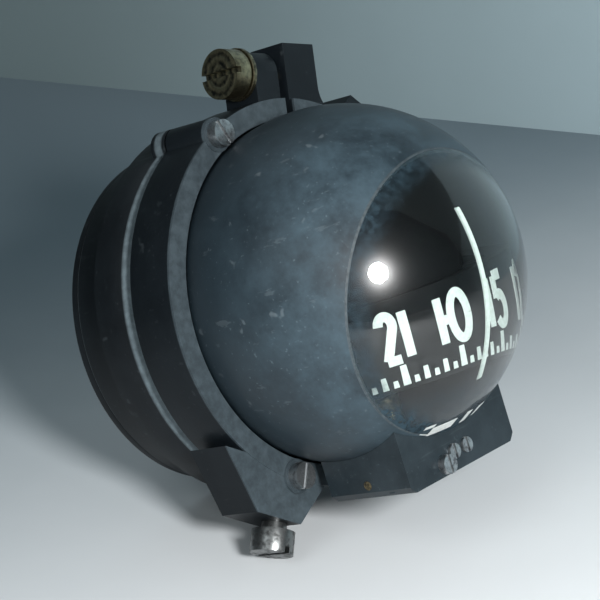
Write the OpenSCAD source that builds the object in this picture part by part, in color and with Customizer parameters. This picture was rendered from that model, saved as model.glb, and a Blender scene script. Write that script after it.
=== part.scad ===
// Aircraft ball compass: a liquid-filled bowl with a floating card and a compensator, in a split clamp ring.
// Frame: +Z up, the window looks along -Y, and the origin is the centre of the rear cover's outer face.

/* [Bowl] */
// Outer radius of the ball
bowl_r = 35; // [34:0.5:38]
// Wall of the ball and of its window
bowl_wall = 2.5; // [2.2:0.1:2.6]
// Half angle of the window, seen from the ball's centre
window_angle = 46; // [44:1:50]
// Thickness of the window's seal
seal_t = 0.8; // [0.4:0.1:1.2]
// How far the neck lies inside the ball's radius
neck_drop = 1.5; // [1.2:0.1:2.5]
// Width of the lubber line
lubber_w = 1; // [0.6:0.1:2]
// Height of the lubber line's upper end above the ball's centre
lubber_top = 9.5; // [6:0.5:14]
// Depth of the lubber line's lower end below the ball's centre
lubber_bottom = 21.5; // [12:0.5:22]

/* [Clamp ring] */
// Turn of the clamp ring against the bowl
clamp_turn = 14; // [-20:1:20]
// Wall of the clamp ring
ring_wall = 5; // [4.5:0.1:6]
// Depth of the clamp ring along its axis
ring_depth = 11; // [10.5:0.5:14]
// How far the ring's front lip reaches over the ball
ring_lip = 1.2; // [0.6:0.1:2]
// Width of the slit between the ears
slit_w = 2.4; // [1.6:0.1:3]
// Thickness of the round-topped ear
round_ear_t = 6.4; // [5.5:0.1:7]
// Thickness of the flat-topped ear
tall_ear_t = 8.8; // [8:0.1:9.5]
// Depth of the ears along the ring's axis
ear_depth = 9; // [8.5:0.1:9.5]
// Height of the flat-topped ear above the ring
tall_ear_h = 11.5; // [11:0.5:13]
// Height of the clamp screw above the ring
clamp_screw_h = 5.6; // [5.5:0.1:6.2]
// Radius of the clamp screw's thread
clamp_screw_r = 2; // [1.5:0.1:2.2]
// Radius of the clamp screw's head
clamp_head_r = 5; // [4:0.1:5.4]
// Angle of the foot round the ring, from the slit
foot_angle = 198; // [192:1:205]
// Height of the foot beyond the ring
foot_h = 8; // [6:0.5:10]
// Radius of the foot screw's thread
foot_screw_r = 2.5; // [2:0.1:3]
// Radius of the foot screw's head
foot_head_r = 4.25; // [3.6:0.05:5]
// Angle of the ring's pad, from the slit
pad_angle = 31; // [28:1:40]
// Height of the pad beyond the ring
pad_h = 5.5; // [3:0.5:6]
// Radius of each lug on the ring
lug_r = 3.4; // [3:0.1:3.6]
// Radius of the lug screws' thread
lug_screw_r = 1.5; // [1.2:0.1:1.6]

/* [Rear housing] */
// Length of the wide barrel
wide_barrel_len = 11; // [10:0.5:14]
// Length of the narrow barrel
narrow_barrel_len = 9; // [8:0.5:14]
// Step from the wide barrel down to the narrow one
barrel_step = 3.5; // [3:0.1:4]
// Wall of the narrow barrel
housing_wall = 2.5; // [2:0.1:2.8]
// Thickness of the rear gasket
gasket_t = 0.6; // [0.4:0.1:1]
// Thickness of the rear cover
cover_t = 2; // [1.8:0.1:3]

/* [Card] */
// Radius of the card's upper edge
card_top_r = 22.6; // [21:0.1:24]
// Radius of the card's lower edge
card_bottom_r = 21.9; // [20:0.1:23]
// Depth of the card's upper edge below the pivot
card_top_drop = 2.2; // [2:0.1:4]
// Height of the card band
card_h = 16; // [12:0.5:16]
// Thickness of the card band
card_t = 0.6; // [0.4:0.1:0.8]
// Radius of the float
float_r = 16; // [14:0.5:18]
// Radius of the card's stem
stem_r = 1.5; // [1.2:0.1:1.6]
// Distance between the card's two magnets
magnet_gap = 19; // [18:0.5:22]
// Length of each card magnet
magnet_len = 24; // [18:1:28]

/* [Compensator] */
// Width of the compensator
comp_w = 33; // [30:0.5:34]
// Depth of the compensator's floor below the ball
comp_below = 4.2; // [4:0.1:5]
// Distance of its front face ahead of the ball's centre
comp_front = 15.5; // [15:0.1:16]
// Distance of its rear end behind the ball's centre
comp_rear = 5; // [3:0.5:5.5]
// Wall of the compensator
comp_wall = 1.2; // [1:0.1:1.4]
// Distance between the two geared shafts
shaft_gap = 3.9; // [3.7:0.1:4]
// Teeth of each pinion
pinion_teeth = 14; // [12:2:16]
// Radius of the slotted heads
adjuster_r = 1.5; // [1.2:0.1:1.6]

/* [Hidden] */
$fn = 96;

// Clearances: a running fit, a still fit and the gap between pieces that move past each other
run = 0.05;
still = 0.05;
free = 0.35;
over = 1;

// Bowl and neck, along the axis from the ball's centre, rearwards positive
// The card, the lubber line and the compensator are given for the reference ball and follow its radius
bowl_ref_r = 35;
fit = bowl_r / bowl_ref_r;
bowl_in = bowl_r - bowl_wall;
neck_r = bowl_r - neck_drop;
neck_start = sqrt(bowl_r * bowl_r - neck_r * neck_r);
window_edge = -bowl_r * cos(window_angle);
seam = window_edge + seal_t;
lubber_r = bowl_in - still;
lubber_t = 0.6;
lubber_up = lubber_top * fit;
lubber_down = lubber_bottom * fit;

// Clamp ring
ring_bore_r = neck_r + run;
ring_r = ring_bore_r + ring_wall;
ring_front = neck_start - ring_lip;
ring_back = ring_front + ring_depth;
neck_tail = 2;
neck_end = ring_back + neck_tail;
root_r = ring_bore_r + ring_wall / 2;
ear_setback = 1.2;
ear_front = ring_front + ear_setback;
ear_back = ear_front + ear_depth;
ear_mid = (ear_front + ear_back) / 2;
round_side = slit_w / 2 + round_ear_t;
tall_side = slit_w / 2 + tall_ear_t;
ear_fillet = 6;
ear_fillet_sink = 3.2;
clamp_axis_r = ring_r + clamp_screw_h;
clamp_washer_t = 1;
clamp_washer_rim = 0.3;
clamp_washer_r = clamp_head_r + clamp_washer_rim;
clamp_head_t = 4;
clamp_nut_t = 3.2;
clamp_nut_r = clamp_screw_r * 2;
nut_room = 0.2;
nut_seat = tall_side - clamp_nut_t;
slot_w = 1.2;
slot_depth = 1.2;
foot_right = 2.5;
foot_left = 9;
foot_root_right = 9;
foot_root_left = 19;
foot_depth = 10.2;
foot_end = ring_r + foot_h;
foot_screw_at = 5;
foot_mid = ring_front + foot_screw_at;
foot_hole_len = 4.6;
foot_hole_start = foot_end - foot_hole_len;
pad_half_w = 4;
pad_root_half_w = 7;
pad_setback = 1;
pad_end = ring_r + pad_h;
foot_neck = 1.5;
foot_head_t = 4.5;
lug_angles = [-35, 110, foot_angle];
lug_inset = 0.9;
lug_axis_r = ring_r - lug_inset;
lug_proud = 0.3;
lug_face = ring_front - lug_proud;
foot_setback = 0.2;
ring_mouth_flare = 0.8;
ring_mouth_r = ring_bore_r + ring_mouth_flare;
ring_mouth_len = 2.5;
lug_head_t = 2.2;
lug_head_share = 1.75;
lug_head_r = lug_screw_r * lug_head_share;
lug_screw_bite = 6;
lug_screw_end = ring_back + lug_screw_bite;
housing_lug_depth = 4;

// Rear housing
barrel_inset = 0.5;
wide_r = ring_r - barrel_inset;
narrow_r = wide_r - barrel_step;
cavity_r = narrow_r - housing_wall;
spigot_drop = 1.5;
spigot_r = wide_r - spigot_drop;
spigot_len = 1;
chamfer_len = 2;
wide_end = ring_back + wide_barrel_len;
narrow_end = wide_end + narrow_barrel_len;
cover_in = narrow_end + gasket_t;
rear_face = cover_in + cover_t;
cover_inset = 0.4;
cover_r = narrow_r - cover_inset;
cover_screw_r = 1.2;
cover_head_r = 2.2;
cover_head_t = 1.3;
cover_boss_r = 2.4;
cover_boss_sink = 0.6;
cover_screw_circle = cavity_r - cover_boss_r + cover_boss_sink;
cover_head_sink = 0.2;
cover_screw_len = 6;

// Diaphragm at the back of the ball
seat_r = 15;
seat_hole_r = 11;
seat_proud = 1.4;
seat_end = sqrt(bowl_r * bowl_r - seat_r * seat_r) + seat_proud;
diaphragm_play = 0.2;
diaphragm_r = seat_r - diaphragm_play;
diaphragm_t = 0.5;
diaphragm_wave = 0.8;
diaphragm_waves = 3;
diaphragm_ring_t = 2;

// Filler plug on the right side of the ball
plug_angle = 75;
plug_r = 2.5;
plug_head_r = 3.4;
plug_head_t = 2;
plug_washer_t = 0.7;
plug_washer_rim = 0.5;
plug_washer_r = plug_head_r + plug_washer_rim;
plug_seat = bowl_r - plug_washer_t;

// Pivot: everything that swings is centred on the ball's centre
tip_r = 0.4;
tip_angle = 18;
jewel_r = 1;
jewel_t = 1.6;
cup_r = 2;
cup_h = 5;
column_r = 2.2;
column_foot_r = 5;
column_foot_h = 3;
point_end = 4;
stem_start = point_end + free;
hub_start = 5;
hub_end = 8.7;
hub_r = 3;
stem_collar_t = 1;
stem_collar_r = 2.5;

// Card
band_top_r = card_top_r * fit;
band_bottom_r = card_bottom_r * fit;
band_top = -card_top_drop * fit;
band_bottom = band_top - card_h * fit;
spider_t = 0.8;
spider_in_r = 9;
spider_out_r = band_top_r - card_t - (band_top_r - band_bottom_r) / (band_top - band_bottom) * spider_t - still;
float_crown_share = 0.62;
float_crown_drop = 1.7;
float_waist_share = 0.94;
float_waist = 2;
float_rim = 1.5;
float_throat = 1.5;
float_throat_r = 3.8;
spider_rib = 3;
magnet_r = 1.2;

// Compensator
comp_top = 25 * fit;
comp_chamfer = 1.4;
comp_face_t = 1.2;
comp_face_at = -comp_front * fit;
comp_body_front = comp_face_at + comp_face_t;
comp_drop = bowl_r + comp_below;
comp_floor = comp_drop - comp_wall;
comp_seat_r = bowl_r + still;
comp_in_w = comp_w - 2 * comp_wall;
tooth_root = 0.23;
tooth_tip = 0.1;
pinion_addendum = 0.8;
pinion_dedendum = 1.25;
pinion_pitch_r = shaft_gap / 2;
pinion_module = shaft_gap / pinion_teeth;
pinion_tip_r = pinion_pitch_r + pinion_module * pinion_addendum;
pinion_root_r = pinion_pitch_r - pinion_module * pinion_dedendum;
pinion_front = comp_body_front + free;
pinion_w = 1.2;
shaft_r = 0.9;
shaft_drop = comp_floor - free - pinion_tip_r;
shaft_magnet_r = 0.5;
shaft_magnet_half = 1.3;
shaft_magnet_gap = 1.1;
shaft_magnet_at = pinion_front + pinion_w + shaft_magnet_gap;
web_t = 1.2;
web_front = shaft_magnet_at + shaft_magnet_gap;
shaft_tail = 0.3;
shaft_end = web_front + web_t + shaft_tail;
adjuster_proud = 0.6;
adjuster_slot_w = 0.6;
cross_at = -5 * fit;
cross_head_r = 1.2;
cross_magnet_half = 1.1;
cross_magnet_x = 6;
cross_swing = sqrt(cross_magnet_half * cross_magnet_half + shaft_magnet_r * shaft_magnet_r);
cross_drop = comp_floor - free - cross_swing;
comp_screw_x = -5.5;
comp_screw_rise = 2.2;
comp_screw_drop = comp_drop - comp_screw_rise;
comp_screw_r = 0.7;
comp_screw_head_r = 1.9;
comp_screw_head_t = 1.6;
comp_boss_r = 1.2;
comp_boss_len = 5;
lug_slot_w = 0.7;

black_paint = [0.10, 0.11, 0.13];
satin_black = [0.16, 0.17, 0.19];
steel = [0.72, 0.73, 0.75];
brass = [0.72, 0.58, 0.30];

// Places children in the ball's own frame
module at_bowl() {
    translate([0, -rear_face, 0]) children();
}

// Places children in the clamp ring's frame, where +Z is the slit
module at_ring(angle = 0) {
    at_bowl() rotate([0, clamp_turn + angle, 0]) children();
}

// Round bar along the axis from one station to another
module rod_y(r, from, to) {
    translate([0, from, 0]) rotate([-90, 0, 0]) cylinder(r = r, h = to - from);
}

// Round bar along X from one station to another
module rod_x(r, from, to) {
    translate([from, 0, 0]) rotate([0, 90, 0]) cylinder(r = r, h = to - from);
}

// Outline in X and Z, drawn out along the axis
module prism_y(from, to) {
    translate([0, to, 0]) rotate([90, 0, 0]) linear_extrude(to - from) children();
}

// Outline of radius and station, turned about the axis
module revolve_y() {
    rotate([-90, 0, 0]) rotate_extrude() children();
}

// Spherical shell between two radii
module ball_shell(outer, inner) {
    difference() {
        sphere(outer);
        sphere(inner);
    }
}

// Straight slot across the end of a screw that points along +Z
module screw_slot(end, width, depth, reach) {
    translate([-width / 2, -reach, end - depth]) cube([width, 2 * reach, depth + over]);
}

module bowl() {
    color(black_paint) at_bowl() difference() {
        union() {
            sphere(bowl_r);
            rod_y(neck_r, 0, neck_end);
            rod_y(seat_r, 0, seat_end);
        }
        sphere(bowl_in);
        rod_y(bowl_r + over, -bowl_r - over, seam);
        rod_y(seat_hole_r, 0, seat_end + over);
        rod_y(bowl_r, seat_end, bowl_r + over);
        rotate([0, plug_angle, 0]) {
            cylinder(r = plug_r + still, h = bowl_r);
            translate([0, 0, plug_seat]) cylinder(r = plug_washer_r + still, h = bowl_wall + over);
        }
    }
}

module window() {
    color([0.85, 0.9, 0.9, 0.35]) at_bowl() intersection() {
        ball_shell(bowl_r, bowl_in);
        rod_y(bowl_r + over, -bowl_r - over, window_edge);
    }
}

module window_seal() {
    color("dimgray") at_bowl() intersection() {
        ball_shell(bowl_r, bowl_in);
        rod_y(bowl_r + over, window_edge, seam);
    }
}

module lubber_line() {
    color("white") at_bowl() intersection() {
        ball_shell(lubber_r, lubber_r - lubber_t);
        translate([-lubber_w / 2, -bowl_r, -lubber_down]) cube([lubber_w, bowl_r, lubber_up + lubber_down]);
    }
}

module filler_plug() {
    color(steel) at_bowl() rotate([0, plug_angle, 0]) difference() {
        union() {
            translate([0, 0, bowl_in + still]) cylinder(r = plug_r, h = bowl_wall);
            translate([0, 0, bowl_r]) cylinder(r = plug_head_r, h = plug_head_t);
        }
        screw_slot(bowl_r + plug_head_t, slot_w, slot_depth, plug_head_r + over);
    }
}

module plug_washer() {
    color("gray") at_bowl() rotate([0, plug_angle, 0]) difference() {
        translate([0, 0, plug_seat]) cylinder(r = plug_washer_r, h = plug_washer_t);
        cylinder(r = plug_r + still, h = bowl_r + over);
    }
}

// Corrugated disc: flat rim on the seat, waves inside it
module diaphragm() {
    steps = 8 * diaphragm_waves;
    inner = [for (i = [0 : steps]) seat_hole_r * i / steps];
    wave = [for (r = inner) diaphragm_wave / 2 * (1 - cos(360 * diaphragm_waves * r / seat_hole_r))];
    front = [for (i = [0 : steps]) [inner[i], seat_end + wave[i]]];
    back = [for (i = [steps : -1 : 0]) [inner[i], seat_end + wave[i] + diaphragm_t]];
    rim = [[diaphragm_r, seat_end], [diaphragm_r, seat_end + diaphragm_t]];
    color("goldenrod") at_bowl() revolve_y() polygon(concat(front, rim, back));
}

module diaphragm_ring() {
    color(brass) at_bowl() difference() {
        rod_y(diaphragm_r, seat_end + diaphragm_t, seat_end + diaphragm_t + diaphragm_ring_t);
        rod_y(seat_hole_r + still, seat_end, seat_end + diaphragm_t + diaphragm_ring_t + over);
    }
}

module pivot_column() {
    color(brass) at_bowl() intersection() {
        union() {
            translate([0, 0, -bowl_r]) cylinder(r = column_r, h = bowl_r - cup_h);
            translate([0, 0, -bowl_r]) cylinder(r = column_foot_r, h = bowl_wall + column_foot_h);
        }
        sphere(bowl_in - still);
    }
}

module jewel_cup() {
    color(brass) at_bowl() difference() {
        translate([0, 0, -cup_h]) cylinder(r = cup_r, h = cup_h);
        translate([0, 0, -jewel_t]) cylinder(r = jewel_r + still, h = jewel_t + over);
    }
}

module jewel() {
    color("crimson") at_bowl() difference() {
        translate([0, 0, -jewel_t]) cylinder(r = jewel_r, h = jewel_t);
        sphere(tip_r + free);
    }
}

// Steel point: its round tip is the centre of every tilt, and its upper end is part of a ball about it
module pivot_point() {
    color(steel) at_bowl() intersection() {
        union() {
            sphere(tip_r);
            cylinder(r1 = tip_r, r2 = tip_r + point_end * tan(tip_angle), h = point_end);
        }
        sphere(point_end);
    }
}

// Stem above the point, hollowed to a ball about the same centre
module pivot_stem() {
    color(steel) at_bowl() difference() {
        union() {
            translate([0, 0, hub_start - over]) cylinder(r = stem_r, h = hub_end - hub_start + 2 * over);
            translate([0, 0, hub_end + free]) cylinder(r = stem_collar_r, h = stem_collar_t);
        }
        sphere(stem_start);
    }
}

module card_ring() {
    color("black") at_bowl() rotate_extrude() polygon([
        [band_top_r - card_t, band_top],
        [band_top_r, band_top],
        [band_bottom_r, band_bottom],
        [band_bottom_r - card_t, band_bottom]
    ]);
}

// Sealed float: a hub on the stem and a dome that leaves room for the column when it tilts
module card_float() {
    color("dimgray") at_bowl() rotate_extrude() polygon([
        [stem_r + run, hub_start],
        [stem_r + run, hub_end],
        [hub_r, hub_end],
        [float_r * float_crown_share, hub_end - float_crown_drop],
        [float_r * float_waist_share, float_waist],
        [float_r, band_top + float_rim],
        [float_r, band_top],
        [spider_in_r, band_top],
        [float_throat_r, float_throat],
        [hub_r, hub_start]
    ]);
}

// Flat spider that carries the band on the float
module card_spider() {
    color("silver") at_bowl() translate([0, 0, band_top - spider_t]) linear_extrude(spider_t) {
        difference() {
            circle(float_r);
            circle(spider_in_r);
        }
        difference() {
            circle(spider_out_r);
            circle(spider_out_r - spider_rib);
        }
        for (turn = [45 : 90 : 315])
            rotate(turn) translate([float_r - over, -spider_rib / 2])
                square([spider_out_r - float_r - spider_rib + 2 * over, spider_rib]);
    }
}

module card_magnets() {
    color("slategray") at_bowl() for (side = [-1, 1])
        translate([side * magnet_gap / 2, 0, band_top - spider_t - magnet_r])
            rod_y(magnet_r, -magnet_len / 2, magnet_len / 2);
}

// Front outline of the compensator, with its lower corners cut off
module comp_outline() {
    half = comp_w / 2;
    polygon([
        [-half, -comp_top],
        [-half, -comp_drop + comp_chamfer],
        [-half + comp_chamfer, -comp_drop],
        [half - comp_chamfer, -comp_drop],
        [half, -comp_drop + comp_chamfer],
        [half, -comp_top]
    ]);
}

// Axes of the two geared shafts
module at_shaft(side) {
    translate([side * shaft_gap / 2, 0, -shaft_drop]) children();
}

// Axis of the screw that holds the compensator's face
module at_comp_screw() {
    translate([comp_screw_x, 0, -comp_screw_drop]) children();
}

module compensator_body() {
    color(satin_black) at_bowl() difference() {
        union() {
            difference() {
                prism_y(comp_body_front, comp_rear) comp_outline();
                translate([-comp_in_w / 2, comp_body_front - over, -comp_floor])
                    cube([comp_in_w, comp_rear - comp_wall - comp_body_front + over, comp_drop]);
            }
            translate([-comp_w / 2 + comp_wall / 2, web_front, -comp_drop + comp_wall / 2])
                cube([comp_w - comp_wall, web_t, comp_drop - comp_top]);
            at_comp_screw() rod_y(comp_boss_r, comp_body_front, comp_body_front + comp_boss_len);
        }
        sphere(comp_seat_r);
        for (side = [-1, 1])
            at_shaft(side) rod_y(shaft_r + run, web_front - over, web_front + web_t + over);
        translate([0, cross_at, -cross_drop]) {
            rod_x(shaft_r + run, -comp_w / 2 - over, 0);
            rod_x(cross_head_r + run, 0, comp_w / 2 + over);
        }
        at_comp_screw() rod_y(comp_screw_r + still, comp_body_front - over, comp_body_front + comp_boss_len);
    }
}

module compensator_face() {
    color(satin_black) at_bowl() difference() {
        prism_y(comp_face_at, comp_body_front) comp_outline();
        sphere(comp_seat_r);
        for (side = [-1, 1])
            at_shaft(side) rod_y(adjuster_r + run, comp_face_at - over, comp_body_front + over);
        at_comp_screw() rod_y(comp_screw_r + still, comp_face_at - over, comp_body_front + over);
    }
}

module compensator_screw() {
    color(steel) at_bowl() at_comp_screw() translate([0, comp_face_at, 0]) difference() {
        union() {
            rod_y(comp_screw_r, 0, comp_boss_len);
            rod_y(comp_screw_head_r, -comp_screw_head_t, 0);
        }
        rotate([90, 0, 0]) screw_slot(comp_screw_head_t, adjuster_slot_w, adjuster_slot_w, comp_screw_head_r + over);
    }
}

// Spur pinion with straight-sided teeth; the phase turns it by a share of one tooth
module pinion(phase) {
    pitch = 360 / pinion_teeth;
    shares = [
        [-tooth_root, pinion_root_r],
        [-tooth_tip, pinion_tip_r],
        [tooth_tip, pinion_tip_r],
        [tooth_root, pinion_root_r]
    ];
    polygon([
        for (tooth = [0 : pinion_teeth - 1], corner = shares)
            let (angle = (tooth + corner[0] + phase) * pitch)
                [corner[1] * cos(angle), corner[1] * sin(angle)]
    ]);
}

// Geared shaft with a slotted head in front and a cross hole for its magnet
module geared_shaft(side, phase) {
    color(brass) at_bowl() at_shaft(side) difference() {
        union() {
            rod_y(adjuster_r, comp_face_at - adjuster_proud, pinion_front);
            prism_y(pinion_front, pinion_front + pinion_w) pinion(phase);
            rod_y(shaft_r, pinion_front, shaft_end);
        }
        translate([0, comp_face_at, 0]) rotate([90, 0, 0])
            screw_slot(adjuster_proud, adjuster_slot_w, adjuster_slot_w, adjuster_r + over);
        translate([0, shaft_magnet_at, 0]) rod_x(shaft_magnet_r + still, -shaft_r - over, shaft_r + over);
    }
}

// Bar magnet through a geared shaft
module shaft_magnet(side) {
    color("slategray") at_bowl() at_shaft(side) translate([0, shaft_magnet_at, 0])
        rod_x(shaft_magnet_r, -shaft_magnet_half, shaft_magnet_half);
}

// The left pinion has a tooth on the line of centres, the right one a gap
module left_shaft() {
    geared_shaft(-1, 0);
}

module right_shaft() {
    geared_shaft(1, pinion_teeth % 2 == 0 ? 0.5 : 0);
}

module left_magnet() {
    shaft_magnet(-1);
}

module right_magnet() {
    shaft_magnet(1);
}

module cross_shaft() {
    half = comp_w / 2;
    color(brass) at_bowl() translate([0, cross_at, -cross_drop]) difference() {
        union() {
            rod_x(shaft_r, -half, half);
            rod_x(cross_head_r, half - 2 * comp_wall, half + adjuster_proud);
        }
        rotate([0, 90, 0]) screw_slot(half + adjuster_proud, adjuster_slot_w, adjuster_slot_w, cross_head_r + over);
        for (side = [-1, 1])
            translate([side * cross_magnet_x, 0, 0])
                rod_y(shaft_magnet_r + still, -shaft_r - over, shaft_r + over);
    }
}

module cross_magnets() {
    color("slategray") at_bowl() translate([0, cross_at, -cross_drop]) for (side = [-1, 1])
        translate([side * cross_magnet_x, 0, 0]) rod_y(shaft_magnet_r, -cross_magnet_half, cross_magnet_half);
}

// Tall ear: a flat top, and a hollow slope down to the ring
module tall_ear() {
    prism_y(ear_front, ear_back) {
        translate([slit_w / 2, root_r]) square([tall_ear_t, ring_r + tall_ear_h - root_r]);
        difference() {
            translate([tall_side - over, root_r])
                square([ear_fillet + over, ring_r + ear_fillet - ear_fillet_sink - root_r]);
            translate([tall_side + ear_fillet, ring_r + ear_fillet - ear_fillet_sink]) circle(ear_fillet);
        }
    }
}

// Round-topped ear under the clamp screw's head
module round_ear() {
    translate([-round_side, ear_front, root_r]) cube([round_ear_t, ear_depth, clamp_axis_r - root_r]);
    translate([0, ear_mid, clamp_axis_r]) rod_x(ear_depth / 2, -round_side, -slit_w / 2);
}

// Foot outline: it narrows outwards and leans to the left
module foot_outline() {
    polygon([
        [-foot_root_right, root_r],
        [foot_root_left, root_r],
        [foot_left, foot_end],
        [-foot_right, foot_end]
    ]);
}

// Pad outline: it narrows outwards
module pad_outline() {
    polygon([
        [-pad_root_half_w, root_r],
        [pad_root_half_w, root_r],
        [pad_half_w, pad_end],
        [-pad_half_w, pad_end]
    ]);
}

module clamp_ring() {
    color(satin_black) difference() {
        union() {
            at_ring() {
                rod_y(ring_r, ring_front, ring_back);
                tall_ear();
                round_ear();
            }
            for (angle = lug_angles)
                at_ring(angle) translate([0, 0, lug_axis_r])
                    rod_y(lug_r, lug_face, ring_back - lug_proud);
            at_ring(foot_angle) prism_y(ring_front + foot_setback, ring_front + foot_depth) foot_outline();
            at_ring(pad_angle) prism_y(ring_front + pad_setback, ring_back - pad_setback) pad_outline();
        }
        at_ring() {
            rod_y(ring_bore_r, ring_front - over, ring_back + over);
            translate([0, ring_front, 0]) rotate([-90, 0, 0])
                cylinder(r1 = ring_mouth_r, r2 = ring_bore_r, h = ring_mouth_len);
            translate([-slit_w / 2, ring_front - over, 0]) cube([slit_w, ring_depth + 2 * over, foot_end * 2]);
            translate([0, ear_mid, clamp_axis_r]) {
                rod_x(clamp_screw_r + 4 * run, -round_side - over, tall_side + over);
                translate([nut_seat, 0, 0]) rotate([0, 90, 0])
                    cylinder(r = clamp_nut_r + nut_room, h = clamp_nut_t + 2 * ear_fillet, $fn = 6);
            }
        }
        for (angle = lug_angles)
            at_ring(angle) translate([0, 0, lug_axis_r])
                rod_y(lug_screw_r + 2 * still, ring_front - over, ring_back + over);
        at_ring(foot_angle) translate([0, foot_mid, foot_hole_start])
            cylinder(r = foot_screw_r + still, h = foot_end - foot_hole_start + over);
    }
}

module clamp_screw() {
    head = -round_side - clamp_washer_t - free;
    color(brass) at_ring() translate([0, ear_mid, clamp_axis_r]) difference() {
        union() {
            rod_x(clamp_screw_r, head - over, tall_side + over);
            rod_x(clamp_head_r, head - clamp_head_t, head);
        }
        rotate([0, -90, 0]) screw_slot(clamp_head_t - head, slot_w, slot_depth, clamp_head_r + over);
    }
}

module clamp_washer() {
    color(brass) at_ring() translate([0, ear_mid, clamp_axis_r]) difference() {
        rod_x(clamp_washer_r, -round_side - clamp_washer_t, -round_side);
        rod_x(clamp_screw_r + 4 * run, -round_side - clamp_washer_t - over, -round_side + over);
    }
}

module clamp_nut() {
    color(brass) at_ring() translate([nut_seat, ear_mid, clamp_axis_r]) difference() {
        rotate([0, 90, 0]) cylinder(r = clamp_nut_r, h = clamp_nut_t, $fn = 6);
        rod_x(clamp_screw_r + run, -over, clamp_nut_t + over);
    }
}

module lug_screws() {
    color(steel) for (angle = lug_angles)
        at_ring(angle) translate([0, 0, lug_axis_r]) difference() {
            union() {
                rod_y(lug_screw_r, lug_face, lug_screw_end);
                rod_y(lug_head_r, lug_face - lug_head_t, lug_face);
            }
            translate([0, lug_face, 0]) rotate([90, 0, 0])
                screw_slot(lug_head_t, lug_slot_w, lug_slot_w, lug_head_r + over);
        }
}

module foot_screw() {
    color(steel) at_ring(foot_angle) translate([0, foot_mid, 0]) difference() {
        union() {
            translate([0, 0, foot_hole_start + still])
                cylinder(r = foot_screw_r, h = foot_end + foot_neck - foot_hole_start);
            translate([0, 0, foot_end + foot_neck]) cylinder(r = foot_head_r, h = foot_head_t);
        }
        screw_slot(foot_end + foot_neck + foot_head_t, slot_w, slot_depth, foot_head_r + over);
    }
}

// Screw places of the rear cover
module cover_screw_places() {
    for (turn = [45 : 90 : 315])
        rotate([0, turn, 0]) translate([0, 0, cover_screw_circle]) children();
}

module rear_housing() {
    stop = neck_end + free;
    color(satin_black) difference() {
        union() {
            at_bowl() difference() {
                revolve_y() polygon([
                    [cavity_r - over, ring_back],
                    [spigot_r, ring_back],
                    [spigot_r, ring_back + spigot_len],
                    [wide_r, ring_back + spigot_len + chamfer_len],
                    [wide_r, wide_end],
                    [narrow_r, wide_end],
                    [narrow_r, narrow_end],
                    [cavity_r - over, narrow_end]
                ]);
                rod_y(ring_bore_r, ring_back - over, stop);
                rod_y(cavity_r, stop - over, narrow_end + over);
            }
            at_bowl() intersection() {
                cover_screw_places() rod_y(cover_boss_r, wide_end, narrow_end);
                rod_y(cavity_r + housing_wall / 2, wide_end, narrow_end);
            }
            difference() {
                for (angle = lug_angles)
                    at_ring(angle) translate([0, 0, lug_axis_r])
                        rod_y(lug_r, ring_back + lug_proud, ring_back + housing_lug_depth);
                at_bowl() rod_y((ring_bore_r + spigot_r) / 2, ring_back, wide_end);
            }
        }
        for (angle = lug_angles)
            at_ring(angle) translate([0, 0, lug_axis_r])
                rod_y(lug_screw_r + still, ring_back - over, lug_screw_end + still);
        at_bowl() cover_screw_places()
            rod_y(cover_screw_r + still, narrow_end - cover_screw_len, narrow_end + over);
    }
}

module rear_gasket() {
    color("dimgray") at_bowl() difference() {
        rod_y(cover_r, narrow_end, cover_in);
        rod_y(cavity_r - 2 * cover_boss_r, narrow_end - over, cover_in + over);
        cover_screw_places() rod_y(cover_screw_r + 2 * still, narrow_end - over, cover_in + over);
    }
}

module rear_cover() {
    color(black_paint) at_bowl() difference() {
        rod_y(cover_r, cover_in, rear_face);
        cover_screw_places() {
            rod_y(cover_screw_r + 2 * still, cover_in - over, rear_face + over);
            rod_y(cover_head_r + 2 * still, rear_face - cover_head_t - cover_head_sink, rear_face + over);
        }
    }
}

module rear_cover_screws() {
    seat = rear_face - cover_head_t - cover_head_sink;
    color(steel) at_bowl() cover_screw_places() difference() {
        union() {
            rod_y(cover_screw_r, narrow_end - cover_screw_len + still, seat);
            rod_y(cover_head_r, seat, seat + cover_head_t);
        }
        translate([0, seat, 0]) rotate([-90, 0, 0])
            screw_slot(cover_head_t, adjuster_slot_w, adjuster_slot_w, cover_head_r + over);
    }
}

bowl();
window();
window_seal();
lubber_line();
filler_plug();
plug_washer();
diaphragm();
diaphragm_ring();
pivot_column();
jewel_cup();
jewel();
pivot_point();
pivot_stem();
card_ring();
card_float();
card_spider();
card_magnets();
compensator_body();
compensator_face();
compensator_screw();
left_shaft();
right_shaft();
left_magnet();
right_magnet();
cross_shaft();
cross_magnets();
clamp_ring();
clamp_screw();
clamp_washer();
clamp_nut();
lug_screws();
foot_screw();
rear_housing();
rear_gasket();
rear_cover();
rear_cover_screws();
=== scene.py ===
"""Aircraft ball compass: finishes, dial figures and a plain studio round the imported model.

Everything is in metres in the part's own frame: +Z up, the window looks along -Y, and the origin is the
centre of the rear cover. The ball's own places are written in millimetres from the ball's centre.
"""

import logging
import math
from collections.abc import Callable
from dataclasses import dataclass, field
from enum import Enum

import bmesh
import bpy
import numpy as np
from mathutils import Matrix, Vector

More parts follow.
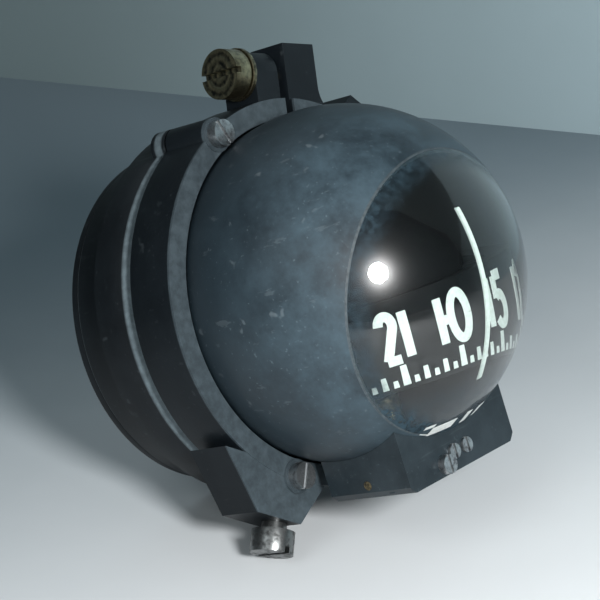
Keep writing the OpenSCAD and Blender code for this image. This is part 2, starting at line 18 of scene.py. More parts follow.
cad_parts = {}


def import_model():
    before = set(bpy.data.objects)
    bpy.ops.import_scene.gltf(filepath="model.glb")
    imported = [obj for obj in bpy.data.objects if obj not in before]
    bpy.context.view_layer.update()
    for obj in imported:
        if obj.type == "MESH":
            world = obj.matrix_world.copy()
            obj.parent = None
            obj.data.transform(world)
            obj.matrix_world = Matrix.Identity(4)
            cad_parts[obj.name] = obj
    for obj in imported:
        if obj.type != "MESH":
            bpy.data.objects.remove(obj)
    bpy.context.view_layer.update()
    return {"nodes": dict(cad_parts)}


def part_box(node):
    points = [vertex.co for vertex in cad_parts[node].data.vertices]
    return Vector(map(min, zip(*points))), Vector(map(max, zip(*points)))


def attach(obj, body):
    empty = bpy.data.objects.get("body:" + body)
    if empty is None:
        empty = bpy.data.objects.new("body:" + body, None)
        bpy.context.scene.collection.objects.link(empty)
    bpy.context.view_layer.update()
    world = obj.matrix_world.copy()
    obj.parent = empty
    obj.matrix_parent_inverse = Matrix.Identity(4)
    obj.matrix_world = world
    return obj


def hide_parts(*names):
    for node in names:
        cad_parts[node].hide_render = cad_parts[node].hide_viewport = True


LOG = logging.getLogger("compass")
MM = 0.001
MERGE_DISTANCE = 1e-7
TINY = 1e-12
ARC_POINTS = 25

# Sockets of the Mix node for colours: three inputs and the result
MIX_FACTOR, MIX_FIRST, MIX_SECOND, MIX_RESULT = 0, 6, 7, 2


class Operation(Enum):
    """Math node operations that the shader expressions use."""

    ADD = "ADD"
    SUBTRACT = "SUBTRACT"
    MULTIPLY = "MULTIPLY"
    ABSOLUTE = "ABSOLUTE"
    SINE = "SINE"


class VectorOperation(Enum):
    """Vector Math node operations, each with the output socket that it fills."""

    SUBTRACT = ("SUBTRACT", "Vector")
    CROSS_PRODUCT = ("CROSS_PRODUCT", "Vector")
    DOT_PRODUCT = ("DOT_PRODUCT", "Value")
    DISTANCE = ("DISTANCE", "Value")
    LENGTH = ("LENGTH", "Value")


class Value:
    """A number socket in a shader graph, with the operators of ordinary arithmetic."""

    def __init__(self, graph: "Graph", socket: bpy.types.NodeSocket) -> None:
        """Keeps the graph and its socket."""
        self.graph = graph
        self.socket = socket

    def _math(self, operation: Operation, first: object, second: object = 0.0) -> "Value":
        """Adds one Math node.

        Args:
            operation: What the node does.
            first: Its first input, a Value or a number.
            second: Its second input, a Value or a number.

        Returns:
            The node's result.
        """
        return self.graph.add("ShaderNodeMath", {"operation": operation.value}, {0: first, 1: second})

    def __add__(self, other: object) -> "Value":
        """Sum."""
        return self._math(Operation.ADD, self, other)

    def __radd__(self, other: object) -> "Value":
        """Sum with a number on the left."""
        return self._math(Operation.ADD, other, self)

    def __sub__(self, other: object) -> "Value":
        """Difference."""
        return self._math(Operation.SUBTRACT, self, other)

    def __rsub__(self, other: object) -> "Value":
        """Difference from a number on the left."""
        return self._math(Operation.SUBTRACT, other, self)

    def __mul__(self, other: object) -> "Value":
        """Product."""
        return self._math(Operation.MULTIPLY, self, other)

    def __rmul__(self, other: object) -> "Value":
        """Product with a number on the left."""
        return self._math(Operation.MULTIPLY, other, self)

    def __abs__(self) -> "Value":
        """Size without its sign."""
        return self._math(Operation.ABSOLUTE, self)

    def sine(self) -> "Value":
        """Sine of an angle in radians."""
        return self._math(Operation.SINE, self)

    def ramp(self, low: float, high: float, start: float = 0.0, end: float = 1.0) -> "Value":
        """Smooth step of this value.

        Args:
            low: Where the step starts.
            high: Where the step ends.
            start: The result at and below low.
            end: The result at and above high.

        Returns:
            The stepped value.
        """
        inputs = {"Value": self, "From Min": low, "From Max": high, "To Min": start, "To Max": end}
        return self.graph.add("ShaderNodeMapRange", {"interpolation_type": "SMOOTHSTEP"}, inputs)


class Graph:
    """The node graph of one material."""

    def __init__(self, name: str) -> None:
        """Makes an empty material of that name."""
        self.material = bpy.data.materials.new(name)
        self.material.use_nodes = True
        self.tree = self.material.node_tree
        self.tree.nodes.clear()
        self.output = self.tree.nodes.new("ShaderNodeOutputMaterial")

    def node(self, kind: str, settings: dict | None = None, inputs: dict | None = None) -> bpy.types.Node:
        """Adds any node.

        Args:
            kind: The node's type.
            settings: Attributes of the node, set first.
            inputs: Socket name or number to a number, a colour, a socket or a Value.

        Returns:
            The node.
        """
        made = self.tree.nodes.new(kind)
        for key, value in (settings or {}).items():
            setattr(made, key, value)
        for key, value in (inputs or {}).items():
            self.feed(made.inputs[key], value)
        return made

    def feed(self, socket: bpy.types.NodeSocket, value: object) -> None:
        """Links a Value or a socket to an input, or sets a number or a colour on it."""
        source = value.socket if isinstance(value, Value) else value
        if isinstance(source, bpy.types.NodeSocket):
            self.tree.links.new(source, socket)
        else:
            socket.default_value = source

    def add(self, kind: str, settings: dict | None = None, inputs: dict | None = None,
            out: object = 0) -> Value:
        """Adds a node and wraps one of its outputs."""
        return Value(self, self.node(kind, settings, inputs).outputs[out])

    def vector(self, operation: VectorOperation, first: object, second: Vector | None = None) -> Value:
        """Adds one Vector Math node.

        Args:
            operation: What the node does.
            first: Its first input, a Value or a socket.
            second: Its second input, where it has one.

        Returns:
            The node's result.
        """
        kind, out = operation.value
        inputs = {0: first} if second is None else {0: first, 1: tuple(second)}
        return self.add("ShaderNodeVectorMath", {"operation": kind}, inputs, out)

    def place(self) -> bpy.types.NodeSocket:
        """Object coordinates, in metres in the part's frame."""
        return self.node("ShaderNodeTexCoord").outputs["Object"]

    def axes(self) -> tuple[Value, Value, Value]:
        """The three Object coordinates as values."""
        split = self.node("ShaderNodeSeparateXYZ", None, {0: self.place()})
        return tuple(Value(self, out) for out in split.outputs)

    def distance(self, centre: Vector) -> Value:
        """Distance of each place from a point."""
        return self.vector(VectorOperation.DISTANCE, self.place(), centre)

    def offset(self, point: Vector) -> Value:
        """Each place as seen from a point."""
        return self.vector(VectorOperation.SUBTRACT, self.place(), point)

    def noise(self, size_mm: float, detail: float = 4.0, roughness: float = 0.55,
              stretch: tuple | None = None) -> Value:
        """Fractal noise.

        Args:
            size_mm: The size of its largest blotches.
            detail: How many finer layers it has.
            roughness: How strong the finer layers are.
            stretch: Scale along X, Y and Z, for streaks.

        Returns:
            A value about 0.5.
        """
        place = self.place()
        if stretch:
            place = self.node("ShaderNodeMapping", None, {"Vector": place, "Scale": stretch}).outputs[0]
        inputs = {"Vector": place, "Scale": 1.0 / (size_mm * MM), "Detail": detail, "Roughness": roughness}
        return self.add("ShaderNodeTexNoise", None, inputs)

    def mix(self, factor: object, first: object, second: object) -> Value:
        """Mixes two colours by a factor from 0 to 1."""
        settings = {"data_type": "RGBA", "clamp_factor": True}
        inputs = {MIX_FACTOR: factor, MIX_FIRST: first, MIX_SECOND: second}
        return self.add("ShaderNodeMix", settings, inputs, MIX_RESULT)

    def bump(self, height: Value, depth_mm: float) -> Value:
        """A normal from a height field of that depth."""
        inputs = {"Height": height, "Distance": depth_mm * MM, "Strength": 1.0}
        return self.add("ShaderNodeBump", None, inputs)

    def shader(self, inputs: dict) -> bpy.types.NodeSocket:
        """A Principled shader with those inputs."""
        return self.node("ShaderNodeBsdfPrincipled", None, inputs).outputs[0]

    def blend(self, factor: Value, first: bpy.types.NodeSocket,
              second: bpy.types.NodeSocket) -> bpy.types.NodeSocket:
        """Two shaders mixed by a factor from 0 to 1."""
        return self.node("ShaderNodeMixShader", None, {0: factor, 1: first, 2: second}).outputs[0]

    def end(self, shader: bpy.types.NodeSocket) -> bpy.types.Material:
        """Ends the graph in a shader."""
        self.tree.links.new(shader, self.output.inputs["Surface"])
        return self.material


def colour(red: float, green: float, blue: float) -> tuple[float, float, float, float]:
    """A solid colour with full alpha."""
    return (red, green, blue, 1.0)


@dataclass(frozen=True)
class Pattern:
    """Blotches of one size, with their share in a finish: noise from none to full between two levels."""

    size_mm: float
    none: float
    full: float
    detail: float = 4.0
    roughness: float = 0.6
    stretch: tuple | None = None
    share: float = 1.0

    def value(self, graph: Graph) -> Value:
        """Adds the pattern to a graph, before its share is taken."""
        noise = graph.noise(self.size_mm, self.detail, self.roughness, self.stretch)
        return noise.ramp(self.none, self.full)


@dataclass(frozen=True)
class RubbedAndLitBand:
    """A band across Y, in metres, where handling has worn the enamel, painted lighter also as a highlight
    on a lit edge.
    """

    y: float
    depth: float
    tint: tuple


@dataclass(frozen=True)
class Hollow:
    """A sphere in which the enamel is matt black, with the radii between which it fades."""

    centre: Vector
    black_mm: float
    bright_mm: float
    tint: tuple = colour(0.004, 0.005, 0.006)


@dataclass(frozen=True)
class Enamel:
    """Black stoved enamel with dust, scuffs and places worn by handling, those also painted lighter as lit
    edges.
    """

    name: str
    base: tuple
    dust_amount: float
    scuff_amount: float
    roughness: float
    specular: float
    dust: tuple = colour(0.085, 0.115, 0.135)
    mark: tuple = colour(0.22, 0.26, 0.28)
    rubbed_and_lit: RubbedAndLitBand | None = None
    hollow: Hollow | None = None
    # Y range over which dust thins, which also paints shade on the ball's top and back.
    dust_and_shade_span: tuple[float, float] | None = None
    clean_and_shaded_share: float = 0.12
    cloud: Pattern = Pattern(13.0, 0.3, 0.75, 5.0, 0.62, share=0.75)
    grain: Pattern = Pattern(1.8, 0.25, 0.85, share=0.25)
    speck: Pattern = Pattern(0.9, 0.67, 0.75, 2.0, 0.55, share=0.4)
    blot: Pattern = Pattern(3.4, 0.68, 0.76, 2.0, 0.55, share=0.55)
    scuff: Pattern = Pattern(5.0, 0.64, 0.7, stretch=(0.25, 1.0, 3.0), share=0.25)
    haze_dulls: float = 0.45
    marks_dull: float = 0.3
    skin_fine_mm: float = 0.5
    skin_wide_mm: float = 6.0
    skin_depth_mm: float = 0.02

    def material(self) -> bpy.types.Material:
        """Builds the finish.

        Cloudy dust is coarse noise with some fine noise. Its thinning along Y also paints shade on the top
        and back.
        Speckle is the peaks of a fine noise, blots are those of a wider one, and scuffs are the ridges of a
        stretched noise.

        Returns:
            The material.
        """
        graph = Graph(self.name)
        patterns = (self.cloud, self.grain, self.speck, self.blot, self.scuff)
        cloud, grain, speck, blot, scuff = (pattern.value(graph) for pattern in patterns)
        haze = (cloud * self.cloud.share + grain * self.grain.share) * self.dust_amount
        # Dust thinning along Y, which also paints the top and back of the ball darker: painted shade.
        if self.dust_and_shade_span:
            haze = haze * graph.axes()[1].ramp(*self.dust_and_shade_span, 1.0, self.clean_and_shaded_share)
        marks = speck * self.speck.share + scuff * self.scuff.share + blot * self.blot.share
        marks *= self.scuff_amount
        tint = graph.mix(haze, self.base, self.dust)
        tint = graph.mix(marks, tint, self.mark)
        rough = haze * self.haze_dulls + marks * self.marks_dull + self.roughness
        # Worn band, also a painted highlight: the lit front edge is painted lighter.
        if self.rubbed_and_lit:
            away = abs(graph.axes()[1] - self.rubbed_and_lit.y)
            band = away.ramp(self.rubbed_and_lit.depth / 2, self.rubbed_and_lit.depth, 1.0, 0.0)
            tint = graph.mix(band * (grain * 0.5 + 0.5), tint, self.rubbed_and_lit.tint)
        if self.hollow:
            radii = (self.hollow.black_mm * MM, self.hollow.bright_mm * MM)
            inside = graph.distance(self.hollow.centre).ramp(*radii, 1.0, 0.0)
            tint = graph.mix(inside, tint, self.hollow.tint)
        skin = graph.noise(self.skin_fine_mm, 3.0) * 0.6 + graph.noise(self.skin_wide_mm, 2.0) * 0.4
        return graph.end(graph.shader({
            "Base Color": tint, "Roughness": rough, "Normal": graph.bump(skin, self.skin_depth_mm),
            "Specular IOR Level": self.specular,
        }))


@dataclass(frozen=True)
class Metal:
    """Bare or plated metal with handling marks."""

    name: str
    bright: tuple
    dull: tuple
    roughness: float
    wear: Pattern = Pattern(1.4, 0.4, 0.68)
    wear_dulls: float = 0.25
    turning_mm: float = 0.25
    turning_dulls: float = 0.1
    turning_depth_mm: float = 0.006

    def material(self) -> bpy.types.Material:
        """Builds the finish: two tones mixed by noise, with fine turning marks."""
        graph = Graph(self.name)
        stain = self.wear.value(graph)
        fine = graph.noise(self.turning_mm, 2.0)
        return graph.end(graph.shader({
            "Base Color": graph.mix(stain, self.bright, self.dull), "Metallic": 1.0,
            "Roughness": stain * self.wear_dulls + fine * self.turning_dulls + self.roughness,
            "Normal": graph.bump(fine, self.turning_depth_mm),
        }))


@dataclass(frozen=True)
class Paint:
    """Plain matt paint, rubber or plastic with faint mottling."""

    name: str
    base: tuple
    faded: tuple
    roughness: float
    grain_mm: float = 0.8
    specular: float = 0.5
    grain_depth_mm: float = 0.01
    grain_dulls: float = 0.2
    fading: tuple[float, float] = (0.35, 0.7)

    def material(self) -> bpy.types.Material:
        """Builds the finish: two close tones mixed by fine noise, with a slight grain."""
        graph = Graph(self.name)
        grain = graph.noise(self.grain_mm, 4.0)
        tint = graph.mix(grain.ramp(*self.fading), self.base, self.faded)
        return graph.end(graph.shader({
            "Base Color": tint, "Roughness": grain * self.grain_dulls + self.roughness,
            "Normal": graph.bump(grain, self.grain_depth_mm), "Specular IOR Level": self.specular,
        }))


@dataclass(frozen=True)
class LiquidDome:
    """Clear window on a ball full of liquid: its outer face bends light, and its inner face does not."""

    name: str
    centre: Vector
    outer_mm: float
    axis: Vector
    tint: tuple = colour(0.93, 0.975, 0.96)
    ior: float = 1.42
    roughness: float = 0.03
    coat_roughness: float = 0.24
    coat_ior: float = 1.4
    skin_mm: tuple[float, float] = (0.6, 0.3)
    dust_pale: tuple = colour(0.03, 0.056, 0.074)
    dust_dark: tuple = colour(0.01, 0.019, 0.026)
    dust_roughness: float = 0.5
    dust_specular: float = 0.15
    grain: Pattern = Pattern(1.6, 0.3, 0.7, 5.0, 0.65)
    cover_least: float = 0.42
    cover_more: float = 0.3
    rim_angles: tuple[float, float] = (40.5, 48.0)
    settled_drops: tuple[float, float] = (25.0, 19.0)
    settled_share: float = 0.6

    def material(self) -> bpy.types.Material:
        """Builds the finish.

        The dome and the liquid bend light alike, so only faces near the outer radius are glass. Lamps shine
        straight through, which keeps the card lit.

        Returns:
            The material.
        """
        graph = Graph(self.name)
        clear = graph.node("ShaderNodeBsdfTransparent", None, {"Color": self.tint}).outputs[0]
        bent = graph.shader({
            "Base Color": self.tint, "Roughness": self.roughness, "IOR": self.ior,
            "Transmission Weight": 1.0, "Coat Weight": 1.0,
            "Coat Roughness": self.coat_roughness, "Coat IOR": self.coat_ior,
        })
        outer = graph.distance(self.centre).ramp(*((self.outer_mm - depth) * MM for depth in self.skin_mm))
        glass = outer * (1.0 - graph.add("ShaderNodeLightPath", None, None, "Is Shadow Ray"))
        grain = self.grain.value(graph)
        dust = graph.shader({
            "Base Color": graph.mix(grain, self.dust_dark, self.dust_pale),
            "Roughness": self.dust_roughness, "Specular IOR Level": self.dust_specular,
        })
        cover = self.dust_cover(graph) * (grain * self.cover_more + self.cover_least)
        return graph.end(graph.blend(cover * glass, graph.blend(glass, clear, bent), dust))

    def dust_cover(self, graph: Graph) -> Value:
        """Where old dust has settled.

        It lies in a band along the rim, by the angle from the window's axis, and low on the dome, by the
        depth under the ball's centre.

        Args:
            graph: The material's graph.

        Returns:
            The share of dust.
        """
        along = graph.vector(VectorOperation.DOT_PRODUCT, graph.offset(self.centre), self.axis)
        near, far = (self.outer_mm * MM * math.cos(math.radians(angle)) for angle in self.rim_angles)
        low, high = (self.centre.z - drop * MM for drop in self.settled_drops)
        return along.ramp(far, near, 1.0, 0.0) + graph.axes()[2].ramp(low, high, self.settled_share, 0.0)


@dataclass(frozen=True)
class TurnedBrass:
    """Tarnished brass with the rings of a lathe tool round one axis."""

    name: str
    axis_point: Vector
    axis: Vector
    bright: tuple = colour(0.36, 0.32, 0.2)
    dark: tuple = colour(0.016, 0.019, 0.017)
    pitch_mm: float = 1.75
    groove_mm: float = 0.06
    ring_share: float = 0.16
    stain_mm: float = 1.1
    stain_share: float = 1.1
    tarnish: tuple[float, float] = (0.2, 0.85)
    roughness: float = 0.3
    tarnish_dulls: float = 0.2

    def material(self) -> bpy.types.Material:
        """Builds the finish: rings by the sine of the distance from the axis, broken up by noise."""
        graph = Graph(self.name)
        across = graph.vector(VectorOperation.CROSS_PRODUCT, graph.offset(self.axis_point), self.axis)
        radius = graph.vector(VectorOperation.LENGTH, across)
        rings = (radius * (2.0 * math.pi / (self.pitch_mm * MM))).sine()
        stain = graph.noise(self.stain_mm, 4.0, 0.6)
        share = (rings * self.ring_share + stain * self.stain_share).ramp(*self.tarnish)
        return graph.end(graph.shader({
            "Base Color": graph.mix(share, self.bright, self.dark), "Metallic": 1.0,
            "Roughness": share * self.tarnish_dulls + self.roughness,
            "Normal": graph.bump(rings, self.groove_mm),
        }))


def add_object(name: str, data: bpy.types.ID) -> bpy.types.Object:
    """Puts an object of that data in the scene."""
    made = bpy.data.objects.new(name, data)
    bpy.context.scene.collection.objects.link(made)
    return made


class Surface:
    """Grids of points made into closed meshes."""

    @staticmethod
    def quads(rows: int, columns: int) -> np.ndarray:
        """Faces of a grid that is open along its rows and closed round its columns.

        Args:
            rows: Number of rings.
            columns: Points in each ring.

        Returns:
            One row of four point numbers for each face.
        """
        first = np.arange(rows - 1)[:, None] * columns + np.arange(columns)[None]
        second = np.arange(rows - 1)[:, None] * columns + np.roll(np.arange(columns), -1)[None]
        corners = np.stack([first, second, second + columns, first + columns], -1)
        return corners.reshape(-1, 4)

    @staticmethod
    def piece(name: str, points: np.ndarray, faces: list, finish: bpy.types.Material,
              body: str) -> bpy.types.Object:
        """Makes a mesh object of points in metres, with outward faces, and lets it ride on a body.

        Args:
            name: The piece's name.
            points: Its points, one per row.
            faces: Lists of point numbers.
            finish: Its material.
            body: The body that carries it.

        Returns:
            The object.
        """
        mesh = bpy.data.meshes.new(name)
        mesh.from_pydata(points.tolist(), [], faces)
        cleaned = bmesh.new()
        cleaned.from_mesh(mesh)
        bmesh.ops.remove_doubles(cleaned, verts=cleaned.verts, dist=MERGE_DISTANCE)
        bmesh.ops.recalc_face_normals(cleaned, faces=cleaned.faces)
        cleaned.to_mesh(mesh)
        cleaned.free()
        mesh.materials.append(finish)
        made = add_object(name, mesh)
        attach(made, body)
        return made

    @staticmethod
    def soften(mesh: bpy.types.Mesh, angle_deg: float = 32.0) -> None:
        """Shades a mesh smooth, with sharp edges above an angle."""
        mesh.polygons.foreach_set("use_smooth", np.ones(len(mesh.polygons), bool))
        mesh.set_sharp_from_angle(angle=math.radians(angle_deg))


Place = Callable[[np.ndarray, np.ndarray], np.ndarray]


@dataclass
class PaintWork:
    """Flat bars of paint that are joined into one piece."""

    thickness: float = 0.07
    points: list = field(default_factory=list)
    faces: list = field(default_factory=list)
    count: int = 0

    def bar(self, path: np.ndarray, widths: np.ndarray, place: Place) -> None:
        """Adds a bar along a path.

        Its section is a rectangle: the path's normal times half the width to each side, at two heights.

        Args:
            path: Flat points down the middle of the bar.
            widths: The bar's width at each point.
            place: Lays flat points, at their heights, on the painted surface.
        """
        run = np.gradient(path, axis=0)
        run /= np.linalg.norm(run, axis=1)[:, None] + TINY
        side = np.stack([-run[:, 1], run[:, 0]], 1) * widths[:, None] / 2
        rows = len(path)
        flat = np.stack([path - side, path + side, path + side, path - side], 1).reshape(-1, 2)
        height = np.tile(np.array([-1.0, -1.0, 1.0, 1.0]) * self.thickness, rows)
        self.points.append(place(flat, height))
        ends = np.array([[3, 2, 1, 0], [0, 1, 2, 3]]) + np.array([[0], [(rows - 1) * 4]])
        self.faces += (Surface.quads(rows, 4) + self.count).tolist() + (ends + self.count).tolist()
        self.count += rows * 4

    def build(self, name: str, finish: bpy.types.Material, body: str) -> bpy.types.Object:
        """Makes the piece of paint on a body."""
        made = Surface.piece(name, np.concatenate(self.points), self.faces, finish, body)
        return made


@dataclass(frozen=True)
class Stroke:
    """One pen stroke of a figure: points in a cell that is one unit tall."""

    points: tuple

    def samples(self, spacing: float) -> np.ndarray:
        """Points along the stroke at about an even spacing."""
        corners = np.array(self.points, float)
        steps = np.linalg.norm(np.diff(corners, axis=0), axis=1)
        along = np.concatenate([[0.0], np.cumsum(steps)])
        count = max(3, int(along[-1] / spacing) + 1)
        at = np.linspace(0.0, along[-1], count)
        return np.stack([np.interp(at, along, corners[:, 0]), np.interp(at, along, corners[:, 1])], 1)


def line(*points: tuple[float, float]) -> Stroke:
    """A stroke of straight runs."""
    return Stroke(tuple(points))


def arc(x: float, y: float, rx: float, ry: float, start: float, end: float) -> Stroke:
    """A stroke along part of an ellipse, with its angles in degrees."""
    angles = np.radians(np.linspace(start, end, ARC_POINTS))
    across = x + rx * np.cos(angles)
    upward = y + ry * np.sin(angles)
    return Stroke(tuple(zip(across.tolist(), upward.tolist())))


# Figures: the width of each cell, then its strokes, for a height of one
FIGURES: dict[str, tuple[float, list[Stroke]]] = {
    "0": (0.4, [arc(0.2, 0.5, 0.2, 0.5, 0, 360)]),
    "1": (0.06, [line((0.03, 0.0), (0.03, 1.0))]),
    "2": (0.3, [
        arc(0.15, 0.79, 0.15, 0.21, 175, -35),
        line((0.27, 0.67), (0.02, 0.02)),
        line((0.0, 0.0), (0.32, 0.0)),
    ]),
    "3": (0.36, [arc(0.16, 0.75, 0.16, 0.25, 150, -90), arc(0.16, 0.26, 0.2, 0.26, 90, -150)]),
    "4": (0.44, [
        line((0.32, 0.0), (0.32, 1.0)),
        line((0.32, 1.0), (0.0, 0.28)),
        line((0.0, 0.28), (0.44, 0.28)),
    ]),
    "5": (0.42, [
        line((0.4, 1.0), (0.06, 1.0)),
        line((0.06, 1.0), (0.05, 0.55)),
        arc(0.19, 0.31, 0.22, 0.31, 125, -145),
    ]),
    "6": (0.54, [arc(0.27, 0.3, 0.26, 0.3, 0, 360), arc(0.5, 0.35, 0.48, 0.65, 100, 180)]),
    "north": (0.56, [arc(0.3, 0.5, 0.3, 0.5, 45, 315)]),
    "east": (0.54, [
        line((0.0, 0.0), (0.0, 1.0)),
        line((0.0, 1.0), (0.26, 1.0)),
        line((0.0, 0.53), (0.28, 0.53)),
        line((0.0, 0.0), (0.28, 0.0)),
        arc(0.25, 0.765, 0.22, 0.235, 90, -90),
        arc(0.27, 0.265, 0.26, 0.265, 90, -90),
    ]),
    "south": (0.76, [
        line((0.0, 0.0), (0.0, 1.0)),
        line((0.0, 0.5), (0.28, 0.5)),
        arc(0.52, 0.5, 0.24, 0.5, 0, 360),
    ]),
    "west": (0.52, [arc(0.24, 0.75, 0.24, 0.25, 150, -90), arc(0.24, 0.26, 0.28, 0.26, 90, -150)]),
}

# What stands at each 30 degrees of the card, from north onwards
DIAL_STEP = 30
DIAL: list[tuple[str, ...]] = [
    ("north",), ("3",), ("6",), ("east",), ("1", "2"), ("1", "5"),
    ("south",), ("2", "1"), ("2", "4"), ("west",), ("3", "0"), ("3", "3"),
]


@dataclass
class Card:
    """The card band's figures and ticks, laid on its cone."""

    centre: Vector
    top_r: float
    top_drop: float
    height: float
    bottom_r: float = 21.9
    figure_h: float = 7.8
    figure_top: float = 2.5
    figure_gap: float = 1.75
    stroke: float = 1.65
    heading: float = 175.5
    spacing: float = 0.25
    tick_base: float = 0.9
    tick_step: int = 5
    tick_points: int = 8
    tick_taper: float = 0.8
    ticks: dict = field(default_factory=lambda: {30: (3.7, 1.4), 10: (2.4, 1.1), 5: (1.3, 1.0)})

    def slope(self) -> float:
        """Length of the cone's side."""
        return math.hypot(self.height, self.top_r - self.bottom_r)

    def on_cone(self, flat: np.ndarray, heading: float, lift: np.ndarray) -> np.ndarray:
        """Lays flat points on the cone.

        The flat X runs round the card at its middle radius, the flat Y is the distance down the slope from
        the upper edge, and lift is along the cone's normal.

        Args:
            flat: Points in millimetres, X to the right and Y down the slope.
            heading: The card mark, in degrees, that X = 0 stands on.
            lift: Height of each point above the cone.

        Returns:
            Points in metres in the part's frame.
        """
        inward = (self.top_r - self.bottom_r) / self.slope()
        fall = self.height / self.slope()
        radius = self.top_r - inward * flat[:, 1] + fall * lift
        level = -self.top_drop - fall * flat[:, 1] - inward * lift
        middle = (self.top_r + self.bottom_r) / 2
        angle = np.radians(self.heading - heading) + flat[:, 0] / middle
        local = np.stack([radius * np.sin(angle), -radius * np.cos(angle), level], 1)
        return local * MM + np.array(self.centre)

    def figures(self, name: str, finish: bpy.types.Material) -> bpy.types.Object:
        """Paints every figure of the dial.

        Args:
            name: The piece's name.
            finish: The paint.

        Returns:
            The piece.
        """
        work = PaintWork()
        for place, names in enumerate(DIAL):
            widths = [FIGURES[each][0] * self.figure_h for each in names]
            left = -(sum(widths) + self.figure_gap * (len(names) - 1)) / 2
            for each, width in zip(names, widths):
                for stroke in FIGURES[each][1]:
                    cell = stroke.samples(self.spacing / self.figure_h)
                    flat = np.stack([left + cell[:, 0] * self.figure_h,
                                     self.figure_top + (1.0 - cell[:, 1]) * self.figure_h], 1)
                    work.bar(flat, np.full(len(flat), self.stroke), self.placer(float(place * DIAL_STEP)))
                left += width + self.figure_gap
        return work.build(name, finish, "card")

    def marks(self, name: str, finish: bpy.types.Material) -> bpy.types.Object:
        """Paints every tick, on one line along the card's lower edge.

        Args:
            name: The piece's name.
            finish: The paint.

        Returns:
            The piece.
        """
        foot = self.slope() - self.tick_base
        work = PaintWork()
        for mark in range(0, 360, self.tick_step):
            length, width = next(size for step, size in self.ticks.items() if mark % step == 0)
            rise = np.linspace(foot, foot - length, self.tick_points)
            widths = np.linspace(width, width * self.tick_taper, self.tick_points)
            work.bar(np.stack([np.zeros_like(rise), rise], 1), widths, self.placer(float(mark)))
        return work.build(name, finish, "card")

    def placer(self, mark: float) -> Place:
        """The rule that lays flat points on the cone about one card mark."""
        return lambda flat, lift: self.on_cone(flat, mark, lift)


